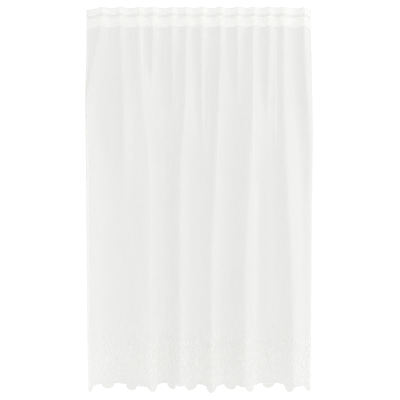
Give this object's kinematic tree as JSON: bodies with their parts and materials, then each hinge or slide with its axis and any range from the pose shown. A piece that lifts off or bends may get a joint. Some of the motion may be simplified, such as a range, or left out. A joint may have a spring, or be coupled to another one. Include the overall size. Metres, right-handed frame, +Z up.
{
  "type": "lace curtain",
  "caption": "Sheer white voile curtain hanging in soft uneven folds from a gathered head, with an embroidered lace border and a scalloped hem.",
  "frame": {"origin": "middle of the top edge, in the plane that the folds hang about", "axes": "+Z up along the drop, +X along the width to the right seen from the front, +Y towards the window behind; the front of the cloth faces -Y"},
  "size_m": [1.4765, 0.1568, 2.4501],
  "materials": {
    "voile": "sheer plain-woven polyester voile, matt, off-white, with a border embroidered in the same white",
    "tape": "woven white heading tape, matt"
  },
  "bodies": {
    "root": {"panel": "voile", "heading_tape": "tape"}
  },
  "joints": []
}
